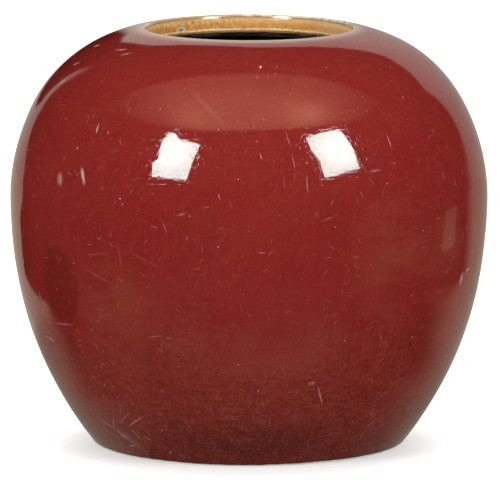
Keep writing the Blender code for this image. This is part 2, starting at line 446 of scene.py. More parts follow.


# ---- Red glaze ----

# Marks on the glaze, the last five of them painted glints: angle, height, length, width, tilt from upright,
# and how pale the mark is.
# Lengths round the jar are measured at a radius of 100 mm.
MARK_RADIUS = 100.0
MARKS_AND_GLINTS = [
    (-43, 149, 5, 0.8, -5, 0.95),
    (-52, 126, 7, 4.2, -15, 0.4),
    (-44, 129, 9.5, 2.2, -25, 0.8),
    (-46, 154, 2, 0.7, 25, 0.35),
    (-48, 140, 2, 1.2, 45, 0.45),
    (-7, 124, 3.5, 0.5, -15, 0.6),
    (3, 141, 3.5, 0.6, -15, 0.5),
    (-16, 116, 5, 1.6, 75, 0.2),
    (-20, 110, 7.5, 0.6, -20, 0.2),
    (-32, 96, 14, 0.9, -10, 0.08),
    (-25, 95, 20, 1.0, -65, 0.08),
    (-39, 86, 21, 1.0, -70, 0.09),
    (-38, 96, 16, 0.8, 80, 0.08),
    (38, 144, 8, 0.5, -5, 0.75),
    (10, 148, 7.5, 0.6, -15, 0.3),
    (11, 138, 7.5, 0.6, -10, 0.3),
    (14, 129, 9.5, 0.5, 0, 0.45),
    (19, 114, 9, 0.5, 70, 0.3),
    (32, 133, 6.5, 1.4, 90, 0.25),
    (64, 79, 7, 4.5, 10, 0.42),
    (67, 82, 6, 1.2, 75, 0.8),
    (-24, 61, 7.5, 0.6, 80, 0.3),
    (-54, 61, 16, 0.8, 85, 0.3),
    (-64, 52, 12, 0.7, -85, 0.45),
    (-37, 19, 16, 0.7, 65, 0.5),
    (-46, 11, 9, 1, -55, 0.6),
    (-51, 15, 13, 0.7, -75, 0.45),
    (-41, 20, 15, 0.6, 60, 0.3),
    (-43, 9, 24, 5.6, -55, 0.09),
    (-39, 13, 9, 0.6, -35, 0.4),
    (-47, 17, 8, 0.6, 40, 0.35),
    (-44, 6, 10, 0.7, 80, 0.35),
    (-35, 11, 7, 0.5, -70, 0.3),
    (-41, 25, 9, 0.5, 20, 0.25),
    (-28, 5, 1.5, 0.8, 25, 0.75),
    (20, 34, 13, 0.9, -25, 0.4),
    (17, 40, 4.5, 2.0, 80, 0.26),
    (3, 100, 4, 0.4, 90, 0.35),
    (-12, 161, 27, 2.6, -55, 0.05),
    (4, 176, 2, 1, 90, 0.95),
    (-32, 121, 1, 0.8, 0, 0.8),
    (35, 127, 1, 0.8, 0, 0.7),
    (49, 161, 1, 0.9, 0, 0.6),
    (-39, 148, 1.5, 0.9, 0, 0.55),
    # The last five rows are painted highlights: small pale glints on the upper left of the shoulder.
    (-79, 178, 6, 1.2, 80, 0.95),
    (-74, 171, 6, 0.9, 70, 0.95),
    (-71, 164, 4.5, 0.8, 60, 0.95),
    (-58, 179, 12, 0.5, 85, 0.8),
    (-52, 178, 9, 0.6, 80, 0.55),
]
# How steeply a mark fades towards its edge: it is at full strength up to 3/8 of the way out.
MARK_FALLOFF = 1.6


def around_at(angle):
    return math.radians(angle) * MARK_RADIUS


def marks_and_glints(g):
    """All the listed marks, painted glints among them, as one mask, with worn, broken edges."""
    flat = g.unrolled(g.scaled(g.noise(0.9, seed=31.0), 0.8, -0.4))
    total = 0.0
    for angle, height, length, width, tilt, strength in MARKS_AND_GLINTS:
        place = g.stamp(flat, (around_at(angle), height), (width / 2, length / 2), tilt)
        steep = MARK_FALLOFF * strength
        fade_out = g.scaled(g.vector("LENGTH", place), -steep, steep)
        total = g.larger(total, g.math("MINIMUM", fade_out, strength))
    return g.times(total, g.ramp(g.noise(1.2, seed=33.0), 0.25, 0.5))


# Large soft patches in the red: angle and height of the middle, half width, half height, strength.
VEIL_PATCHES = [
    (-34, 70, 26, 30, 1.0),
    (36, 92, 26, 32, 0.9),
    (0, 54, 55, 21, 0.78),
    (55, 84, 16, 30, 1.0),
    (40, 14, 16, 12, 0.6),
    (-32, 16, 14, 14, 0.5),
]
DEEP_PATCHES = [
    (-54, 50, 10, 12, 0.2),
    (50, 52, 12, 20, 0.22),
    (2, 12, 42, 9, 0.45),
]
# A painted dark reflection on the lower left, laid on like a deep patch of oxblood.
PAINTED_DARK_REFLECTION = [(-53, 79, 12.5, 17, 0.42)]


def patches(g, places, edge):
    """Soft-edged rounded patches as one mask. `edge` is how far out the fading starts, from 0 to 1."""
    wobble = g.scaled(g.noise(11.0, detail=3.0, seed=51.0), 1.2, -0.6)
    flat = g.unrolled()
    total = 0.0
    for angle, height, half_width, half_height, strength in places:
        place = g.stamp(flat, (around_at(angle), height), (half_width, half_height))
        distance = g.plus(g.vector("LENGTH", place), g.times(wobble, 1.0 - edge))
        total = g.larger(total, g.times(g.ramp(distance, 1.15, edge), strength))
    return total


# Families of fine scratches: lean from upright, length, spacing and strength.
HAIRLINES = [
    (-12.0, 3.4, 2.6, 0.23),
    (80.0, 2.8, 2.6, 0.2),
    (35.0, 2.4, 3.0, 0.21),
    (-60.0, 3.0, 3.0, 0.2),
]
HAIRLINE_WIDTH = 0.36
HAIRLINE_SHARE = 0.32


def hairlines(g):
    """Short fine scratches, slightly bent, gathered in loose clusters."""
    flat = g.unrolled(g.scaled(g.noise(2.5, detail=1.0, seed=71.0), 2.0, -1.0))
    total = 0.0
    for index, (lean, length, spacing, strength) in enumerate(HAIRLINES):
        size = (spacing, spacing * length / HAIRLINE_WIDTH)
        place = g.stamp(flat, (31.0 * index, 17.0 * index), size, lean)
        strokes = g.add("TexVoronoi", {"Vector": place, "Scale": 1.0}, voronoi_dimensions="2D")
        reach = HAIRLINE_WIDTH / 2 / spacing
        stroke = g.spots(strokes, reach * 1.3, reach * 0.7, HAIRLINE_SHARE)
        total = g.larger(total, g.times(stroke, strength))
    clusters = g.scaled(g.ramp(g.noise(20.0, seed=73.0), 0.46, 0.6), 0.8, 0.2)
    return g.times(total, g.times(clusters, g.ramp(g.height, 172.0, 150.0)))


def nicks(g):
    """Sparse pale pinholes and short nicks all over the glaze."""
    hole = g.spots(g.cells(4.2), 0.085, 0.045, 0.55)
    short = g.cells(7.0, up=0.3, seed=2.5, warp=0.25)
    stroke = g.spots(short, 0.045, 0.02, 0.45)
    return g.larger(g.times(hole, 0.75), g.times(stroke, 0.45))


# Heights, from where each starts to where it is full: the change to liver brown, the darkening
# above the foot, and the burnt edge of the glaze.
LIVER_ZONE = (112.0, 40.0)
FOOT_ZONE = (37.0, 9.0)
BURNT_ZONE = (2.8, 1.3)


def lay_clouded_red(g, low, mottle):
    """The red, streaked down the wall, with liver brown, veils, deep pools, drips and a painted dark
    reflection in it.
    """
    streak = g.noise(5.0, detail=3.0, up=0.07, seed=2.0)
    g.colour = g.mix(g.ramp(streak, 0.35, 0.7), RED, RED_STREAK)
    g.lay(g.mix(g.ramp(mottle, 0.3, 0.7), LIVER_DARK, LIVER_LIGHT), low, 0.75)
    veil = g.noise(24.0, detail=5.0, roughness=0.6, around=0.6, up=1.5, seed=9.0)
    g.lay(VEIL, g.ramp(veil, 0.3, 0.62), g.scaled(patches(g, VEIL_PATCHES, 0.25), 0.85, 0.15))
    g.lay(OXBLOOD, patches(g, DEEP_PATCHES, 0.55))
    # The painted dark reflection.
    g.lay(OXBLOOD, patches(g, PAINTED_DARK_REFLECTION, 0.85))
    drips = g.noise(8.0, detail=4.0, roughness=0.62, up=0.38, seed=17.0)
    g.lay(VEIL, g.ramp(drips, 0.52, 0.66), g.times(low, 0.3))
    g.lay(OXBLOOD, g.ramp(drips, 0.46, 0.34), g.times(low, 0.32))
    g.lay(FOOT_BROWN, g.ramp(g.scaled(mottle, 14.0, g.height), *FOOT_ZONE), 0.48)


def lay_speckles(g, low):
    """Fine pale and dark grains, most of them low down."""
    grains = g.noise(0.8, detail=3.0, roughness=0.7, seed=11.0)
    g.lay(SPECK, g.ramp(grains, 0.48, 0.7), g.scaled(low, 0.36, 0.1))
    g.lay(FOOT_BROWN, g.ramp(grains, 0.46, 0.3), g.scaled(low, 0.34, 0.07))


def lay_wear(g, low):
    """Fine rubbed threads up the wall and round it, and tiny flecks, most of both low down."""
    upright = g.noise(1.1, roughness=0.6, up=0.14, seed=61.0)
    level = g.noise(1.1, roughness=0.6, around=0.18, seed=63.0)
    threads = g.times(g.plus(upright, level), 0.5)
    where = g.ramp(g.noise(26.0, seed=65.0), 0.38, 0.62)
    amount = g.times(g.scaled(low, 0.34, 0.12), g.scaled(where, 0.7, 0.3))
    g.lay(THREAD_PALE, g.ramp(threads, 0.51, 0.6), amount)
    g.lay(OXBLOOD, g.ramp(threads, 0.48, 0.4), amount)
    g.lay(FLECK, g.spots(g.cells(2.3, seed=4.0), 0.13, 0.07, 0.5), 0.55)


# How far outside the mouth's wall the cream ring, a thin line and the amber start.
CREAM_EDGE = 1.2
LINE_EDGE = 0.45
AMBER_EDGE = 0.3
# The glaze thins towards the lip over this distance from the wall, so that the clay pales it.
THIN_LIP = (10.0, 1.0)


def lay_lip(g):
    """Where the red runs thin over the lip: it pales to a cream ring, then the amber starts."""
    at_mouth = g.ramp(g.height, NECK_LOW.z - 6.0, NECK_LOW.z - 4.0)
    outside = g.plus(g.radius, -MOUTH_RADIUS)
    thin = g.ramp(outside, *THIN_LIP)
    g.lay(LIP_THIN, thin, thin, at_mouth)
    cream = g.mix(g.ramp(g.noise(1.6, seed=6.0), 0.5, 0.68), LIP_CREAM, LIP_AMBER)
    rubbed = g.between(g.angle, math.radians(-176.0), math.radians(-108.0), 0.06)
    cream = g.mix(g.times(rubbed, 0.75), cream, LIP_AMBER)
    for edge, below in ((CREAM_EDGE, cream), (LINE_EDGE, LIP_LINE), (AMBER_EDGE, amber(g))):
        g.lay(below, g.ramp(outside, edge + 0.05, edge - 0.05), at_mouth)


def red_relief(g):
    """Slow waves, orange peel, and shallow scoring up the wall and round it, in millimetres."""
    waviness = g.times(g.noise(7.0, seed=13.0), 0.018)
    peel = g.times(g.noise(1.3, seed=15.0), 0.002)
    upright = g.ramp(g.noise(0.9, detail=1.0, up=0.16, seed=41.0), 0.6, 0.68)
    level = g.ramp(g.noise(0.9, detail=1.0, around=0.16, seed=43.0), 0.6, 0.68)
    return g.plus(g.plus(waviness, peel), g.times(g.larger(upright, level), -0.0065))


def red_glaze():
    """Copper red: clear and vivid above, clouded and speckled with liver brown towards the foot."""
    g = Shading("red_glaze")
    low = g.ramp(g.scaled(g.noise(45.0, detail=3.0), 60.0, g.height), *LIVER_ZONE)
    mottle = g.noise(3.4, detail=5.0, roughness=0.62, seed=4.0)
    lay_clouded_red(g, low, mottle)
    lay_speckles(g, low)
    lay_wear(g, low)
    damage_and_glints = g.larger(g.larger(nicks(g), hairlines(g)), marks_and_glints(g))
    # Scratches, nicks and marks laid on pale, with the painted glints among the marks.
    g.lay(BRUISE_AND_GLINT, damage_and_glints)
    lay_lip(g)
    g.lay(FOOT_EDGE, g.ramp(g.scaled(mottle, 2.0, g.height), *BURNT_ZONE))
    return g.finish(g.scaled(damage_and_glints, 0.3, g.scaled(low, 0.1, 0.028)), red_relief(g))


# ---- Other glazes and clay ----

# A small bare spot on the far wall of the mouth.
FLAW_ANGLE = -138.0
FLAW_HALF_WIDTH = 1.9
FLAW_HALF_HEIGHT = 0.8

# Heights on the amber coat: its bead, and from where to where two browns fade in below it. The lower brown is
# near black: a brown edge with painted shade where the coat turns under.
BEAD_BAND = (NECK_LOW.z + 1.45, NECK_LOW.z + 2.1)
UNDER_BAND = (NECK_LOW.z + 1.4, NECK_LOW.z + 1.15)
DARK_BAND = (NECK_LOW.z + 0.75, NECK_LOW.z + 0.35)


def amber(g):
    """Mottled amber, streaked sideways, paler towards the lip."""
    blotch = g.noise(5.0, detail=4.0, roughness=0.6, up=2.2)
    fine = g.noise(1.1, detail=3.0, roughness=0.6, around=0.6, up=1.6, seed=3.0)
    colour = g.mix(g.ramp(blotch, 0.35, 0.62), AMBER, AMBER_DEEP)
    thin = g.ramp(g.scaled(blotch, 2.5, g.height), NECK_HIGH.z - 2.0, NECK_HIGH.z + 0.6)
    paleness = g.scaled(thin, 0.46, g.times(g.ramp(fine, 0.48, 0.68), 0.3))
    return g.mix(paleness, colour, AMBER_PALE)


def amber_glaze():
    """Amber-brown crackled glaze inside the mouth, with a thin bead along its lower edge."""
    g = Shading("amber_glaze")
    g.colour = amber(g)
    left = g.between(g.angle, math.radians(-170.0), math.radians(-90.0), 0.3)
    runs = g.ramp(g.noise(1.3, detail=3.0, up=0.35, seed=21.0), 0.48, 0.66)
    g.lay(AMBER_RUN, runs, g.scaled(left, 0.32, 0.08))
    g.lay(AMBER_PALE, g.between(g.angle, math.radians(105.0), math.radians(132.0), 0.2), 0.3)
    crackle = g.ramp(g.cells(2.2, "DISTANCE_TO_EDGE", warp=0.6).outputs["Distance"], 0.06, 0.0)
    g.lay(AMBER_DARK, crackle, g.scaled(left, 0.35, 0.1))

    level = g.scaled(g.noise(2.6, seed=5.0), 0.6, g.plus(g.height, -0.3))
    dots = g.ramp(g.noise(0.7, detail=1.0, seed=8.0), 0.54, 0.6)
    beads = g.between(level, *BEAD_BAND, 0.12)
    under = g.ramp(level, *UNDER_BAND)
    # The bead: its yellow, paled as a painted highlight, spotted with brown.
    g.lay(g.mix(g.times(dots, 0.42), BEAD_YELLOW_AND_HIGHLIGHT, BEAD_BROWN), beads)
    g.lay(g.mix(g.times(dots, 0.5), UNDER_AMBER, BEAD_BROWN), under)
    # Painted shade over the brown of the turned-under edge.
    g.lay(UNDER_BROWN_AND_SHADE, g.ramp(level, *DARK_BAND))

    flaw = kiln_flaw(g)
    g.lay(LIP_CREAM, g.ramp(flaw, 1.9, 1.1), 0.8)
    g.lay(FLAW_GREY, g.ramp(flaw, 1.0, 0.6), 0.8)
    relief = g.scaled(crackle, -0.012, g.times(g.noise(2.4, detail=3.0, seed=12.0), 0.06))
    return g.finish(g.scaled(under, 0.35, 0.1), g.scaled(beads, 0.06, relief))


def kiln_flaw(g):
    """Distance from the middle of the bare spot, 1 at its edge."""
    across = g.times(g.plus(g.angle, -math.radians(FLAW_ANGLE)), MOUTH_RADIUS / FLAW_HALF_WIDTH)
    middle = (NECK_LOW.z + NECK_HIGH.z) / 2 - 0.6
    up = g.times(g.plus(g.height, -middle), 1 / FLAW_HALF_HEIGHT)
    squared = g.plus(g.times(across, across), g.times(up, up))
    return g.plus(g.math("SQRT", squared), g.scaled(g.noise(1.5, seed=14.0), 0.8, -0.4))


def liner_glaze():
    """Thin dark glaze over the inside, painted near black so that it also stands for the shade inside the
    jar.
    """
    g = Shading("liner_glaze")
    cloud = g.noise(14.0, detail=4.0)
    pit = g.ramp(g.cells(5.0).outputs["Distance"], 0.12, 0.05)
    # Near black with a brown cloud: the dark glaze with painted shade.
    g.colour = g.mix(g.ramp(cloud, 0.3, 0.7), LINER_DARK_AND_SHADE, LINER_BROWN_AND_SHADE)
    g.lay(LINER_PIT, pit, 0.5)
    relief = g.times(g.noise(3.0, detail=3.0, seed=4.0), 0.05)
    g.put(g.shader.inputs["Specular IOR Level"], 0.1)
    return g.finish(g.scaled(cloud, 0.2, 0.4), g.scaled(pit, -0.05, relief))


def bare_clay():
    """Unglazed clay, toasted by the kiln, with dark iron grains."""
    g = Shading("bare_clay")
    toast = g.noise(9.0, detail=4.0, roughness=0.6)
    grit = g.noise(0.5, seed=2.0)
    g.colour = g.mix(g.ramp(toast, 0.42, 0.62), CLAY_DARK, CLAY)
    g.lay(CLAY_GRAIN, g.ramp(grit, 0.62, 0.7), 0.7)
    return g.finish(0.85, g.times(grit, 0.05))


def base_glaze():
    """Cream crackle under the foot."""
    g = Shading("base_glaze")
    g.colour = g.mix(g.ramp(g.noise(20.0, detail=3.0), 0.35, 0.7), BASE_CREAM, BASE_GREY)
    crackle = g.ramp(g.cells(7.0, "DISTANCE_TO_EDGE", warp=0.7).outputs["Distance"], 0.035, 0.0)
    g.lay(CLAY_GRAIN, crackle, 0.6)
    return g.finish(0.18, g.scaled(crackle, -0.01, g.times(g.noise(3.0, seed=6.0), 0.02)))


# ---- Pieces ----

# How uneven the throwing left each coat.
OUTSIDE_UNEVEN = 0.11
NECK_UNEVEN = 0.1
INSIDE_UNEVEN = 0.15
BASE_UNEVEN = 0.08

GLAZE_LINE_HEIGHT = 0.36
GLAZE_LINE_LOWEST = 0.06
GLAZE_LINE_LOBES = (3, 7, 13, 29, 61)
CHIPPED_ANGLE = 24.0
CHIPPED_SPREAD = 15.0
CHIPPED_RISE = 1.1


def glaze_line():
    """Height at which the red glaze stops, for each angle: low, with a chipped part at the front right."""
    degrees = (np.degrees(ANGLES) + 180.0) % 360.0 - 180.0
    rng = np.random.default_rng(5)
    height = np.full(SEGMENTS, GLAZE_LINE_HEIGHT)
    for lobe in GLAZE_LINE_LOBES:
        height += 0.05 * np.sin(lobe * ANGLES + rng.uniform(0, 2 * math.pi))
    bare = np.exp(-((degrees - CHIPPED_ANGLE) / CHIPPED_SPREAD) ** 2)
    ragged = 0.55 + 0.45 * np.sin(97 * ANGLES) * np.sin(41 * ANGLES + 1.0)
    return np.maximum(GLAZE_LINE_LOWEST, height + bare * CHIPPED_RISE * ragged)


OUTSIDE_ROWS = 230
# The unevenness of the glaze line dies away up the wall as this power of the way still to go.
GLAZE_LINE_POWER = 24
BOTTOM_ROLL = np.array([-0.25, -0.35])


def outer_coat(material):
    """The red coat: the whole outside, over the lip, and the hidden face against the clay."""
    start_turn = turn_at_height(0.0, glaze_line())
    first_turn = start_turn.mean()
    base_turns = even_turns(0.0, first_turn, LIP_TURN, OUTSIDE_ROWS)
    share = np.linspace(0.0, 1.0, OUTSIDE_ROWS)
    shift = (start_turn - first_turn)[None, :] * ((1.0 - share) ** GLAZE_LINE_POWER)[:, None]
    outside = np.stack(wall(0.0, base_turns[:, None] + shift), axis=-1)

    drop = LIP_TOP[1] - FLARE_HEIGHT * (1.0 - np.sin(np.radians(np.linspace(90.0, 0.0, 24))))
    drop = np.append(drop[1:][drop[1:] > COAT_JOINT_HEIGHT], COAT_JOINT_HEIGHT)
    lip = np.stack([mouth_flare(drop), drop], axis=1)
    under_lip = np.linspace(lip[-1], (MOUTH_RADIUS + 0.7, COAT_JOINT_HEIGHT), 3)[1:]
    hidden = wall_points(COAT_THICKNESS, np.linspace(LIP_TURN - 0.5, first_turn, 40))
    rest = all_round(np.vstack([lip, under_lip, hidden]))
    bottom_roll = [
        rest[-1] * (1 - s) + outside[0] * s + BOTTOM_ROLL * math.sin(math.pi * s)
        for s in (0.2, 0.4, 0.6, 0.8)
    ]
    section = np.concatenate([outside, rest, np.array(bottom_roll)], axis=0)
    relief = waves(11, distance_along(section[:, 0, :]), OUTSIDE_UNEVEN)
    relief[OUTSIDE_ROWS:] = 0.0
    relief *= fade(np.arange(len(section)), 6, OUTSIDE_ROWS - 12)[:, None]
    dress(turned("outer_glaze_coat", section, material, relief), "outer_glaze")


NECK_ROLL_RADIUS = 0.35
DRIP_REACH = 2.5


def neck_coat(material):
    """The amber coat inside the mouth, uneven where it ran, with a rolled and beaded lower edge."""
    top, bottom = COAT_JOINT_HEIGHT - 0.05, NECK_LOW.z
    roll_centre = (MOUTH_RADIUS + NECK_ROLL_RADIUS, bottom + NECK_ROLL_RADIUS)
    roll = arc(roll_centre, NECK_ROLL_RADIUS, 270.0, 180.0, 6)
    heights = np.linspace(roll[-1][1], top, 34)[1:]
    face = np.stack([mouth_flare(heights), heights], axis=1)
    back = np.linspace((NECK_HIGH.x, top), (NECK_HIGH.x, bottom), 6)
    section = np.vstack([roll, face, back])
    along = distance_along(section)
    relief = -waves(23, along, NECK_UNEVEN, lobes=(9, 40), wavelengths=(5.0, 16.0), count=14)
    relief *= fade(np.arange(len(section)), 1, len(roll) + len(face) - 11)[:, None]
    drips = 0.25 * np.sin(17 * ANGLES + 0.7) * np.sin(5 * ANGLES) + 0.12 * np.sin(53 * ANGLES)
    section = all_round(section)
    low_share = np.clip(1.0 - (section[:, 0, 1] - bottom) / DRIP_REACH, 0.0, 1.0)
    section[..., 1] += drips[None, :] * low_share[:, None]
    dress(turned("neck_glaze_coat", section, material, relief), "neck_glaze")


# Width of the collar at its top and bottom, and how far its inner and outer top corners are lowered.
COLLAR_WIDTHS = (7.0, 9.0)
COLLAR_DROPS = (1.0, 2.0)


def mouth_collar(material):
    """The clay collar behind the amber coat, kept under the outer coat."""
    corners = [
        (COLLAR_RADIUS, COLLAR_LOW.z),
        (COLLAR_RADIUS, COLLAR_HIGH.z - COLLAR_DROPS[0]),
        (COLLAR_RADIUS + COLLAR_WIDTHS[0], COLLAR_HIGH.z - COLLAR_DROPS[1]),
        (COLLAR_RADIUS + COLLAR_WIDTHS[1], COLLAR_LOW.z),
    ]
    dress(turned("mouth_collar", softened(corners, 0.3), material), "mouth_ring")


RING_PITCH = 7.5
RING_HEIGHT = 0.28
POLE_RADIUS = 1.0


def inner_liner(material):
    """The whole inside, from the middle of the floor to the mouth, with throwing rings and the seam."""
    floor_height = LINER_LOW.z + THIN_COAT
    ceiling = LINER_HIGH.z - THIN_COAT
    corner_turn = liner_corner_turn(floor_height)
    start = wall(CAVITY_DEPTH, corner_turn)
    turn = math.radians(-corner_turn)
    centre = (start[0] - FLOOR_FILLET * math.cos(turn), start[1] + FLOOR_FILLET * math.sin(turn))
    corner = arc(centre, FLOOR_FILLET, -90.0, corner_turn, 14)
    flat = np.linspace((POLE_RADIUS, floor_height), corner[0], 40)[:-1]
    turns = even_turns(CAVITY_DEPTH, corner_turn, turn_at_height(CAVITY_DEPTH, ceiling), 170)
    side = wall_points(CAVITY_DEPTH, turns)[1:]
    lip = np.linspace(side[-1], (COLLAR_RADIUS, ceiling), 8)[1:]
    seen = np.vstack([flat, corner, side, lip])
    seen[:, 0] -= seam_ridge(seen[:, 1]) * (seen[:, 0] > BELLY_RADIUS / 2)
    hidden_side = wall_points(CAVITY_DEPTH - THIN_COAT, turns[::-4])
    hidden = np.vstack([[(COLLAR_RADIUS, LINER_HIGH.z)], hidden_side, [(POLE_RADIUS, LINER_LOW.z)]])
    section = np.vstack([seen, hidden])[::-1]
    along = distance_along(section)
    rings = RING_HEIGHT * np.sin(2 * math.pi * along / RING_PITCH)[:, None] * np.ones(SEGMENTS)
    relief = -(rings + waves(31, along, INSIDE_UNEVEN))
    relief[:len(hidden)] = 0.0
    relief *= np.clip((np.arange(len(section))[::-1] - 2) / 6.0, 0.0, 1.0)[:, None]
    dress(turned("inner_liner", section, material, relief, closed=False), "liner_glaze")


def liner_corner_turn(floor_height):
    """Turn at which the wall hands over to the fillet that lands on the floor."""
    turns = np.linspace(-38.0, -10.0, 600)
    _, height = wall(CAVITY_DEPTH, turns)
    landing = height - FLOOR_FILLET * (1.0 - np.sin(np.radians(-turns)))
    return np.interp(floor_height, landing, turns)


def seam_ridge(height):
    """Bulge of the luting coil under the liner."""
    return 2.1 * np.exp(-((height - BELLY_HEIGHT) / 3.6) ** 2)


# Radii of the foot ring: its inner wall, and the inner edge, middle and outer edge of its contact.
FOOT_INNER, CONTACT_INNER, CONTACT_MIDDLE, CONTACT_OUTER = 60.5, 62.0, 64.8, 67.6
FOOT_CHAMFER = 1.2
CONTACT_HOLLOW = 0.12


def standing_foot(material):
    """The turned foot ring, with its edges eased and a slightly hollow contact face."""
    outer_turns = np.linspace(-38.5, turn_at_height(CLAY_DEPTH, FOOT_TOP), 8)
    side = wall_points(CLAY_DEPTH, outer_turns)
    contact = [(CONTACT_INNER, 0.0), (CONTACT_MIDDLE, CONTACT_HOLLOW), (CONTACT_OUTER, 0.0)]
    corners = [(FOOT_INNER, FOOT_TOP), (FOOT_INNER, FOOT_CHAMFER), *contact, *side[1:]]
    dress(turned("standing_foot", softened(corners, 0.5)[::-1], material), "foot_ring")


UNDERSIDE_ROWS = 60
UNDERSIDE_DISH = 0.25
UNDERSIDE_ROLL = 0.5


def underside(material):
    """The glazed recess inside the foot ring, dished a little towards its middle."""
    edge = BASE_HIGH.x
    below = np.linspace((POLE_RADIUS, BASE_LOW.z), (edge - 1.2, BASE_LOW.z), UNDERSIDE_ROWS)
    below[:, 1] += UNDERSIDE_DISH * np.cos(below[:, 0] / edge * math.pi / 2)
    roll = arc((edge - 0.6, BASE_LOW.z + UNDERSIDE_ROLL), UNDERSIDE_ROLL, -90.0, 60.0, 6)
    above = np.linspace((edge - 0.7, BASE_HIGH.z), (POLE_RADIUS, BASE_HIGH.z), 8)
    section = np.vstack([below, roll, above])
    relief = waves(41, distance_along(section), BASE_UNEVEN)
    relief[UNDERSIDE_ROWS:] = 0.0
    relief *= np.clip(np.arange(len(section)) / 6.0, 0.0, 1.0)[:, None]
    dress(turned("underside_glaze", section, material, relief, closed=False), "base_glaze")


def hidden_clay(material):
    """The thrown sections between the coats stay as they are in the frame."""
    for node in ("lower_body", "upper_body", "belly_luting_ring"):
        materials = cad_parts[node].data.materials
        materials.clear()
        materials.append(material)


# ---- Set: light, reflections, floor and camera. Lengths are in metres ----

KEY_POWER = 5.3
KEY_DISTANCE = 1.2
KEY_SIZE = (0.46, 0.52)
SPOT_ON_JAR = Vector((0.0, 0.0, 0.14))


def toward(azimuth, elevation, distance, origin=SPOT_ON_JAR):
    """Point at a distance from the jar; azimuth 0 is the camera's side, positive towards +X."""
    a, e = math.radians(azimuth), math.radians(elevation)
    direction = Vector((math.sin(a) * math.cos(e), -math.cos(a) * math.cos(e), math.sin(e)))
    return origin + distance * direction


def facing(point, target):
    """Rotation that turns an object's -Z from `point` to `target`, with its Y up."""
    return (target - point).to_track_quat("-Z", "Y").to_euler()


def step(value, low, high):
    """Smooth step from 0 at `low` to 1 at `high`."""
    share = np.clip((value - low) / (high - low), 0.0, 1.0)
    return share * share * (3.0 - 2.0 * share)


def key_light(name, azimuth, elevation):
    data = bpy.data.lights.new(name, "AREA")
    data.shape = "RECTANGLE"
    data.size, data.size_y = KEY_SIZE
    data.energy = KEY_POWER
    light = placed(name, data)
    light.location = toward(azimuth, elevation, KEY_DISTANCE)
    light.rotation_euler = facing(light.location, SPOT_ON_JAR)
    light.visible_glossy = False
    light.visible_camera = False


class Glow(Graph):
    """An emission material for a reflector."""

    def __init__(self, name):
        self.material = bpy.data.materials.new(name)
        super().__init__(self.material)
        self.nodes.clear()

    def finish(self, colour, strength):
        emission = self.add("Emission", {"Color": colour, "Strength": strength})
        self.add("OutputMaterial", {"Surface": emission.outputs[0]})
        return self.material


def reflector(name, vertices, faces, material):
    """A surface that only the glaze sees."""
    obj = mesh_object(name, vertices, faces, material)
    obj.visible_camera = False
    obj.visible_diffuse = False
    obj.visible_shadow = False
    return obj


def card(name, outline, material):
    """A flat or curved reflector. `outline` is rows of points."""
    columns = len(outline[0])
    corners = [i * columns + j for i in range(len(outline) - 1) for j in range(columns - 1)]
    faces = [(k, k + 1, k + columns + 1, k + columns) for k in corners]
    return reflector(name, [tuple(point) for row in outline for point in row], faces, material)


def glowing_card(name, outline, glows):
    """A reflector whose brightness and colour are set point by point on its mesh."""
    g = Glow(name)
    radiance = g.add("Attribute", attribute_name="radiance").outputs["Color"]
    obj = card(name, outline, g.finish(radiance, 1.0))
    layer = obj.data.attributes.new("radiance", "FLOAT_COLOR", "POINT")
    layer.data.foreach_set("color", np.concatenate(glows).astype(np.float32).ravel())


def tinted(brightness, tint):
    """Rows of red, green, blue and alpha."""
    return np.stack([*(brightness * part for part in tint), np.ones_like(brightness)], axis=1)


# Faces of the two softboxes, across and up from their centres. Their cloth is not square.
LEFT_SOFTBOX = [(-0.12, 0.2), (-0.05, 0.21), (0.01, 0.16), (0.23, 0.15), (0.24, -0.31), (-0.14, -0.31),
                (-0.17, -0.15), (-0.12, -0.09), (-0.15, 0.08)]
RIGHT_SOFTBOX = [(-0.25, 0.2), (-0.1, 0.21), (0.12, 0.21), (0.14, 0.0), (0.16, -0.26), (0.02, -0.26),
                 (-0.11, -0.28), (-0.24, -0.28), (-0.23, -0.09), (-0.27, 0.05)]
# Name, azimuth, elevation and face.
SOFTBOXES = [("left", -41.0, 30.5, LEFT_SOFTBOX), ("right", 48.0, 30.5, RIGHT_SOFTBOX)]
SOFTBOX_COLOUR = (0.8, 1.0, 0.955)
SOFTBOX_GLOW_RADII = (0.05, 0.3)
SOFTBOX_GLOWS = (25.5, 20.0)


def softbox_face(name, outline, azimuth, elevation):
    """The diffuser of a softbox, brighter in its middle."""
    centre = toward(azimuth, elevation, KEY_DISTANCE)
    a = math.radians(azimuth)
    right = Vector((math.cos(a), math.sin(a), 0.0))
    up = (centre - SPOT_ON_JAR).normalized().cross(right)
    g = Glow(name)
    away = g.vector("DISTANCE", g.add("TexCoord").outputs["Object"], tuple(centre))
    material = g.finish(SOFTBOX_COLOUR, g.ramp(away, *SOFTBOX_GLOW_RADII, *SOFTBOX_GLOWS))
    vertices = [tuple(centre + right * u + up * v) for u, v in outline]
    reflector(name, vertices, [tuple(range(len(vertices)))], material)


# The bank of light above: a half ellipse in plan, with a straight back edge.
OVERHEAD_HEIGHT = 1.45
OVERHEAD_COLOUR = (1.0, 0.52, 0.33)
OVERHEAD_GLOW = 2.2
OVERHEAD_BACK = 0.24
OVERHEAD_CENTRE = (-0.05, -0.2)
OVERHEAD_HALF_WIDTH = 1.36
OVERHEAD_HALF_DEPTH = 1.0
# Place and extra brightness of each lamp behind its cloth.
OVERHEAD_LAMPS = [(0.65, -0.62, 0.9), (-0.65, -0.78, 0.5)]
OVERHEAD_LAMP_SPREAD = 0.28


